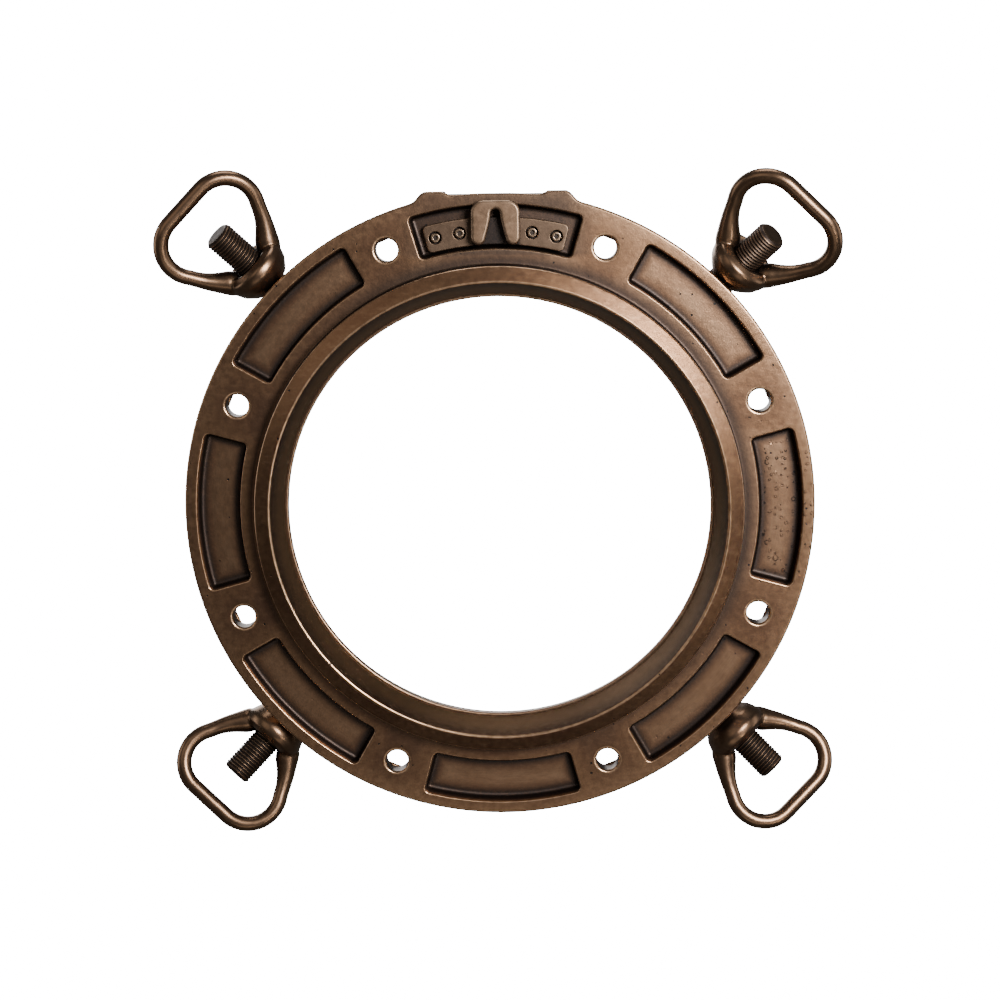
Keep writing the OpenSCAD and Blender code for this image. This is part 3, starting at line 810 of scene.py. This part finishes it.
def threaded_stud(shape):
    """The stud from inside its eye to its tip, with a real helical thread."""
    around, per_pitch = 48, 10
    start, thread_from, run_in = 6.0, 13.0, 2.0
    crest, flank = 0.14, 0.72
    tip_len, tip_step, tip_slope = 1.6, 0.15, 0.95
    thread = np.arange(thread_from, STUD_LEN - 0.2, THREAD_PITCH / per_pitch)
    turns = np.arange(around) / around
    loops = []
    for height in [start, thread_from - 1.0, *thread, STUD_LEN]:
        phase = (height / THREAD_PITCH - turns) % 1.0
        fade = min(1.0, max(0.0, (height - thread_from) / run_in))
        depth = np.clip((np.abs(2 * phase - 1) - crest) / flank, 0, 1) * fade
        radius = STUD_R - THREAD_DEPTH * depth
        tip = height - (STUD_LEN - tip_len)
        if tip > 0:
            radius = np.minimum(radius, STUD_R - tip_step - tip * tip_slope)
        plan = np.stack([radius * np.cos(turns * 2 * math.pi), radius * np.sin(turns * 2 * math.pi)], 1)
        loop = shape.loop(plan, height)
        for i, d in zip(loop, depth):
            shape.wear[i] = 0.75 * max(0.0, 1 - 3.5 * d) if fade else 0.1
            shape.grime[i] = 0.9 * d
        loops.append(loop)
    shape.chain(loops)
    tip_r = STUD_R - tip_step - tip_len * tip_slope
    # each step is its radius, height above the tip, wear and grime
    steps = [(tip_r, 0.0, 0.9, 0), (tip_r - 0.5, 0.12, 0.6, 0), (tip_r - 1.6, 0.15, 0.1, 0.2),
             (2.2, 0.12, 0.05, 0.2)]
    cap = [shape.loop(circle(r, around), STUD_LEN + z, wear, grime) for r, z, wear, grime in steps]
    shape.skin(loops[-1], cap[0])
    shape.chain(cap)
    shape.fill([cap[-1]])
    shape.fill([loops[0]])


def swing_bolt(name):
    shape = Shape()
    shape.place = bolt_place(name)
    threaded_stud(shape)
    shape.place = bolt_place(name) @ Matrix.Rotation(math.pi / 2, 4, "X")
    bore = PIVOT_PIN_R + 0.05
    eye = turned([(bore, 0, 0, 0), (bore, -EYE_HALF, 0.5, 0.5), (EYE_R, -EYE_HALF, 1.5, 0.8),
                  (EYE_R, EYE_HALF, 1.5, 0.8), (bore, EYE_HALF, 0.5, 0.5), (bore, 0.01, 0, 0)])
    shape.lathe(eye, 64, closed=True)
    add_shape(f"eye_bolt_{name}", shape, f"bolt_{name}", STUD, [f"swing_bolt_{name}"])


def ring_path():
    """Half of the ring's centre line as (sideways, upwards, bar radius), from the boss to its far end."""
    cx, cz = RING_CORNER
    dx, dz = cx - LEG_ROOT_X, cz
    reach = math.hypot(dx, dz)
    lean = math.asin(RING_CORNER_R / reach) + math.atan2(dx, dz)
    leg = math.sqrt(reach ** 2 - RING_CORNER_R ** 2)
    path = []
    for t in np.linspace(-0.2, 1, 22):
        bow = 0.9 * math.sin(math.pi * max(t, 0.0))
        x = LEG_ROOT_X + t * leg * math.sin(lean) + bow * math.cos(lean)
        z = t * leg * math.cos(lean) - bow * math.sin(lean)
        fade = min(1.0, max(0.0, t / 0.85))
        path.append((x, z, LEG_ROOT_R + (RING_BAR_R - LEG_ROOT_R) * (1 - (1 - fade) ** 1.6)))
    for a in np.linspace(lean, -math.pi / 2, 30)[1:]:
        path.append((cx + RING_CORNER_R * math.cos(a), cz - RING_CORNER_R * math.sin(a), RING_BAR_R))
    for t in np.linspace(1, 0, 8)[1:]:
        path.append((cx * t, cz + RING_CORNER_R, RING_BAR_R))
    return path


def tube(shape, path, count=28):
    """A closed round bar along a path of (y, z, radius) in the local y-z plane."""
    spine = np.array([(y, z) for y, z, _ in path])
    along = np.gradient(spine, axis=0)
    along /= np.linalg.norm(along, axis=1, keepdims=True)
    turns = np.arange(count) * 2 * math.pi / count
    loops = []
    for (y, z, radius), (ay, az) in zip(path, along):
        across, sides = radius * np.cos(turns), radius * np.sin(turns)
        loops.append(shape.add([(x, y + side * az, z - side * ay) for x, side in zip(across, sides)]))
    shape.chain(loops)
    shape.faces += [tuple(loops[0]), tuple(loops[-1])]


def melted(shape):
    """The shape's overlapping parts as one smooth skin."""
    melt = bpy.data.objects.new("melt", solid_mesh(shape))
    bpy.context.scene.collection.objects.link(melt)
    remesh = melt.modifiers.new("remesh", "REMESH")
    remesh.mode = "VOXEL"
    remesh.voxel_size = 0.6
    smooth = melt.modifiers.new("smooth", "SMOOTH")
    smooth.factor = 0.5
    smooth.iterations = 9
    depsgraph = bpy.context.evaluated_depsgraph_get()
    skin = bpy.data.meshes.new_from_object(melt.evaluated_get(depsgraph))
    bpy.data.objects.remove(melt)
    return skin


def ring_nut(name):
    """The boss and its ring as one casting, rubbed on the lip of the boss and black in its dish."""
    shape = Shape()
    half = ring_path()
    tube(shape, half + [(-y, z, r) for y, z, r in reversed(half[:-1])])
    bore = STUD_R + 0.35
    boss = turned([(bore, -BOSS_H, 0, 0), (12.6, -BOSS_H, 1.2, 0), (17.4, -13.4, 5.0, 0),
                   (19.9, -7.0, 5.0, 0), (19.0, -2.4, 3.0, 0), (BOSS_LIP_R, 0.5, 1.6, 0),
                   (11.4, -1.9, 1.5, 0), (bore, -2.4, 0, 0)], steps=6)
    shape.lathe(boss, 96, closed=True)
    solid = melted(shape)
    co = np.zeros(len(solid.vertices) * 3)
    solid.vertices.foreach_get("co", co)
    x, y, z = co.reshape(-1, 3).T
    r = np.hypot(x, y)
    lip = np.exp(-((r - BOSS_LIP_R) / 0.9) ** 2) * (z > -1.5) * (z < 1.2)
    dish = np.clip((13.6 - r) / 2.0, 0, 1) * (z > -6) * (z < 4)
    paint(solid, wear=0.35 * lip, grime=0.9 * dish)
    solid.transform(nut_place(name))
    add_piece(f"ring_casting_{name}", solid, f"nut_{name}", NUT, [f"ring_nut_{name}"])


# ---------------------------------------------------------------- pins
def pin(name, place, radius, half, node):
    """A round bar along z, with its ends rounded off."""
    shape = Shape()
    shape.place = place
    section = [(0, -half, 0, 0), (radius, -half, 0.5, 0.9), (radius, half, 0.5, 0.9), (0, half, 0, 0)]
    shape.lathe(turned(section, 4), 48)
    add_shape(name, shape, "frame", PIN, [node])


def pivot_pin(name):
    across = pivot_place(BOLTS[name][0]) @ Matrix.Rotation(math.pi / 2, 4, "X")
    pin(f"pivot_{name}", across, PIVOT_PIN_R, PIVOT_LUG_X[1], f"pivot_pin_{name}")


def hinge_rod():
    across = Matrix.Translation((0, HINGE_Y, HINGE_Z)) @ Matrix.Rotation(math.pi / 2, 4, "Y")
    pin("hinge_rod", across, HINGE_PIN_R, HINGE_LUG_X[1], "hinge_pin")


# ---------------------------------------------------------------- sash
def clamp_ear(shape, angle):
    """A post on the sash's side, and the slotted plate on it that the stud swings into."""
    shape.place = spun(angle)
    root, tip = EAR_R
    side = EAR_HALF - 2
    post = np.concatenate([arc((EAR_POST_R, -side), 2, 270, 360, 5), arc((EAR_POST_R, side), 2, 0, 90, 5),
                           [(root, EAR_HALF), (root, -EAR_HALF)]])
    shape.slab(post, *EAR_POST_Z, 1.0)
    x, y, mouth = tip - EAR_CORNER, EAR_HALF - EAR_CORNER, EAR_SLOT + 1.0
    plate = np.concatenate([
        [(root, -EAR_HALF), (150.0, -EAR_HALF)], arc((x, -y), EAR_CORNER, 270, 360, 6),
        arc((tip - 1.0, -mouth), 1.0, 0, 90, 4), arc((PIVOT_R, 0), EAR_SLOT, 270, 90, 24),
        arc((tip - 1.0, mouth), 1.0, 270, 360, 4), arc((x, y), EAR_CORNER, 0, 90, 6),
        [(150.0, EAR_HALF), (root, EAR_HALF)]])
    shape.slab(plate, *EAR_Z, 1.2)


def sash_casting():
    shape = Shape()
    groove_r1, groove_r2 = GROOVE_R
    # radius, height, rounding and wear, once round the section
    section = turned([
        (groove_r1, SASH_FRONT_Z, 0.4, 0.3), (SASH_BORE_R, SASH_FRONT_Z, 1.1, 0.9),
        (SASH_BORE_R, GLASS_BED_Z, 0.5, 0.3), (GLASS_BED_R, GLASS_BED_Z, 0, 0),
        (GLASS_BED_R, SASH_BACK_Z, 0, 0), (SASH_R, SASH_BACK_Z, 1.2, 0.8), (SASH_R, SHOULDER_Z, 1.2, 0.8),
        (SHOULDER_R, SHOULDER_Z, 0.8, -0.6), (SHOULDER_R, SASH_FRONT_Z, 0.6, 0.4),
        (groove_r2, SASH_FRONT_Z, 0, 0), (groove_r2, GLASS_BED_Z, 0, 0), (groove_r1, GLASS_BED_Z, 0, 0),
        (groove_r1, SASH_FRONT_Z - 0.01, 0, 0)])
    shape.lathe(section, 360, closed=True)
    for angle, *_ in BOLTS.values():
        clamp_ear(shape, angle)
    shape.place = Matrix.Translation((0, HINGE_Y, HINGE_Z)) @ ALONG_HINGE
    knuckle = np.concatenate([arc((0, 0), KNUCKLE_R, *KNUCKLE_ARC, 44), STRAP])
    shape.slab(knuckle, -KNUCKLE_HALF, KNUCKLE_HALF, 1.0, [circle(HINGE_PIN_R + 0.06, 40)], 0.3)
    add_shape("sash_casting", shape, "sash", TURNED, ["sash_ring"])


def glazing_ring():
    shape = Shape()
    holes = [circle(GLAZING_HOLE_R, 32, (GLAZING_SCREW_R * math.cos(a), GLAZING_SCREW_R * math.sin(a)))
             for a in np.radians(15 + 30 * np.arange(12))]
    inner, outer = GLAZING_R
    shape.slab(circle(outer, 360), *GLAZING_Z, 0.9, holes + [circle(inner, 360)], 0.6)
    add_shape("glazing_ring", shape, "sash", TURNED, ["retaining_ring"])


def gasket(front, name, node):
    """A flat rubber ring on one face of the glass, with its front at that height."""
    shape = Shape()
    inner, outer = GASKET_R
    back = front - GASKET_T
    section = turned([(inner, front, 0, 0), (outer, front, 0.3, 0), (outer, back, 0.3, 0),
                      (inner, back, 0.6, 0), (inner, front - 0.01, 0, 0)])
    shape.lathe(section, 240, closed=True)
    add_shape(name, shape, "sash", RUBBER, [node])


def seal():
    """The rubber in the sash's groove."""
    shape = Shape()
    inner, outer = SEAL_R
    section = turned([(inner, GLASS_BED_Z, 0, 0), (inner, SEAL_FRONT_Z, 1.3, 0),
                      (outer, SEAL_FRONT_Z, 1.3, 0), (outer, GLASS_BED_Z, 0, 0)])
    shape.lathe(section, 240, closed=True)
    add_shape("sealing_ring", shape, "sash", RUBBER, ["sash_seal"])


def dress(node, material):
    """Gives a CAD node that is shown as it is its material."""
    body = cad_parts[node]
    body.data.materials.clear()
    body.data.materials.append(material)


def sash():
    sash_casting()
    glazing_ring()
    gasket(GLASS_BED_Z, "front_gasket_ring", "front_gasket")
    gasket(GLASS_BACK_Z, "rear_gasket_ring", "rear_gasket")
    seal()
    dress("glass_pane", GLASS)
    dress("retaining_screws", SCREW)


# ---------------------------------------------------------------- hanging bracket
def fork_outline():
    """The tongue: round shoulders, a slot that widens downwards, and two round-ended legs."""
    leg_x, leg_y, leg_r = 9.95, 158.7, 4.25
    slot_y, slot_r = 172.2, 2.5
    shoulder_y, shoulder_r = 172.8, 7.2
    half = leg_x + leg_r
    outer = np.concatenate([[(half, leg_y)], arc((half - shoulder_r, shoulder_y), shoulder_r, 0, 90, 10)])
    slot = np.concatenate([arc((0, slot_y), slot_r, 90, 0, 6)[1:],
                           [(2.7, 170.0), (3.2, 167.5), (3.8, 165.0), (4.4, 162.5), (5.1, 160.2)],
                           arc((leg_x, leg_y), leg_r, 185, 350, 14)])
    mirrored = np.array([-1, 1])
    middle = [(0.0, slot_y + slot_r)]
    return np.concatenate([outer, outer[::-1] * mirrored, slot[::-1] * mirrored, middle, slot])


def hanger(spots):
    """The plate with a hole at each spot, and the fork with the two webs that carry it."""
    shape = Shape()
    plate = turn(sector(PLATE_R1, PLATE_R2, PLATE_HALF, PLATE_CORNER), 90)
    holes = [circle(PLATE_HOLE_R, 40, spot) for spot in spots]
    shape.slab(plate, -RECESS_T, PLATE_Z, 0.9, holes, 0.35, wear=0.7)
    for spot in spots:
        shape.fill([shape.loop(circle(PLATE_HOLE_R + 0.15, 40, spot), PLATE_HOLE_Z, 0, 1.0)])
    shape.slab(fork_outline(), *FORK_Z, 1.9, steps=6, wear=0.5)
    for side in (-1, 1):
        web = np.array([(3.6, 170.0), (12.6, 170.0), (12.6, 174.8), (3.6, 174.8)]) * (side, 1)
        shape.slab(web[::side], -7.9, 2.0, 0.4, wear=0.0)
    add_shape("hanger_plate", shape, "frame", BRACKET, ["hanger_bracket"])


def screw_heads(spots):
    """A head with a hexagon socket at each spot, each one turned a little further."""
    shape = Shape()
    for k, spot in enumerate(spots):
        hexagon = turn(circle(SOCKET_R, 6), 17 * k)
        sides = zip(hexagon, np.roll(hexagon, -1, 0))
        socket = np.array([a + (b - a) * t for a, b in sides for t in (0, 0.25, 0.5, 0.75)]) + spot
        shape.slab(circle(HEAD_R, 40, spot), *HEAD_Z, 0.6, [socket], 0.2, wear=1.0)
        shape.fill([shape.loop(circle(SOCKET_R + 0.15, 24, spot), SOCKET_Z, 0, 1.0)])
    add_shape("bracket_screw_heads", shape, "frame", SCREW, ["bracket_screws"])


def hanging_bracket():
    bearings = [math.radians(90 + a) for a in PLATE_SCREWS_AT]
    spots = [(PLATE_SCREW_R * math.cos(a), PLATE_SCREW_R * math.sin(a)) for a in bearings]
    hanger(spots)
    screw_heads(spots)


# ---------------------------------------------------------------- stage, light, camera
WARM = (1.0, 0.96, 0.91)
WARMER = (1.0, 0.95, 0.88)
WHITE = (1, 1, 1)
LAMPS = [  # name, place, aim, size, power, colour
    ("key", (0.50, -1.05, 0.36), (0.05, 0, 0.05), (0.35, 0.35), 18.0, WARM),
    ("spigot", (0.68, -1.05, 0.50), (0.05, 0, 0.05), (0.25, 0.25), 12.0, WARM),
    ("side", (0.68, -1.05, -0.42), (0, 0, 0), (0.18, 0.18), 2.0, WARMER),
    ("low", (0.0, -1.1, -0.8), (0, 0, -0.1), (0.7, 0.4), 1.1, WARMER),
    ("fill", (-0.8, -1.05, 0.62), (0, 0, 0), (0.8, 0.8), 1.8, WARMER),
    ("back", (-0.45, 1.75, 0.5), (0, 0, 0), (1.4, 1.2), 17.0, WHITE),
    ("top", (0, 0.2, 1.7), (0, 0, 0), (1.0, 0.6), 12.0, WHITE),
    ("edge", (-1.6, 0.0, 0.2), (0, 0, 0), (0.6, 1.2), 4.5, WHITE),
    ("edge", (1.6, 0.0, 0.2), (0, 0, 0), (0.6, 1.2), 4.5, WHITE),
]
SKY = (*WARMER, 1)
SKY_STRENGTH = 0.11
FLOOR_REACH = 3.4
FLOOR_BEND = 1.2
FLOOR_TOP = 4.0
FLOOR_SIDES = 96
FLOOR_GLOW = 20.0
CAMERA_PLACE = (0.0238, -1.157, 0.1952)
CAMERA_LOOK = (-0.0198, 0.9867, -0.1614)
CAMERA_ROLL = -0.72
CAMERA_LENS = 72.0


def floor_mesh():
    """A round dish: a floor whose edge bends up into a wall on every side."""
    low = cad_box[0][2] - 0.0005
    inner = FLOOR_REACH - FLOOR_BEND
    section = [(0.01, 0.0), (inner, 0.0)]
    section += [(inner + FLOOR_BEND * math.sin(a), FLOOR_BEND - FLOOR_BEND * math.cos(a))
                for a in np.linspace(0, math.pi / 2, 17)[1:]]
    section += [(FLOOR_REACH, FLOOR_TOP)]
    turns = [2 * math.pi * k / FLOOR_SIDES for k in range(FLOOR_SIDES)]
    points = [(r * math.cos(a), r * math.sin(a), low + z) for a in turns for r, z in section]
    n = len(section)
    seams = [(k * n, (k + 1) % FLOOR_SIDES * n) for k in range(FLOOR_SIDES)]
    faces = [(a + i, b + i, b + i + 1, a + i + 1) for a, b in seams for i in range(n - 1)]
    faces.append(tuple(a for a, _ in seams)[::-1])
    mesh = bpy.data.meshes.new("floor")
    mesh.from_pydata(points, [], faces)
    mesh.polygons.foreach_set("use_smooth", [True] * len(faces))
    return mesh


def stage():
    """The floor glows white, as the photograph's ground does, and takes no part in lighting the bronze."""
    material, _, shader = new_material("pale_floor")
    shader.inputs["Base Color"].default_value = (0.9, 0.9, 0.9, 1)
    shader.inputs["Roughness"].default_value = 0.9
    shader.inputs["Emission Color"].default_value = (1, 1, 1, 1)
    shader.inputs["Emission Strength"].default_value = FLOOR_GLOW
    ground = bpy.data.objects.new("floor", floor_mesh())
    ground.data.materials.append(material)
    bpy.context.scene.collection.objects.link(ground)
    ground.visible_glossy = False
    ground.visible_diffuse = False
    ground.visible_shadow = False


def lamp(name, place, aim, size, power, colour):
    light = bpy.data.lights.new(name, "AREA")
    light.shape = "RECTANGLE"
    light.size, light.size_y = size
    light.energy = power
    light.color = colour
    holder = bpy.data.objects.new(name, light)
    bpy.context.scene.collection.objects.link(holder)
    holder.location = place
    holder.rotation_euler = (Vector(aim) - Vector(place)).to_track_quat("-Z", "Y").to_euler()


def lighting():
    world = bpy.data.worlds.new("studio")
    world.use_nodes = True
    world.node_tree.nodes["Background"].inputs[0].default_value = SKY
    world.node_tree.nodes["Background"].inputs[1].default_value = SKY_STRENGTH
    bpy.context.scene.world = world
    for settings in LAMPS:
        lamp(*settings)


def photo_camera():
    camera = bpy.data.cameras.new("camera")
    camera.lens = CAMERA_LENS
    camera.sensor_width = 36.0
    holder = bpy.data.objects.new("camera", camera)
    bpy.context.scene.collection.objects.link(holder)
    look = Vector(CAMERA_LOOK).to_track_quat("-Z", "Y").to_matrix().to_4x4()
    holder.matrix_world = Matrix.Translation(CAMERA_PLACE) @ look @ spun(CAMERA_ROLL)
    bpy.context.scene.camera = holder


main_frame()
hanging_bracket()
for bolt in BOLTS:
    swing_bolt(bolt)
    ring_nut(bolt)
    pivot_pin(bolt)
hinge_rod()
sash()
stage()
lighting()
photo_camera()
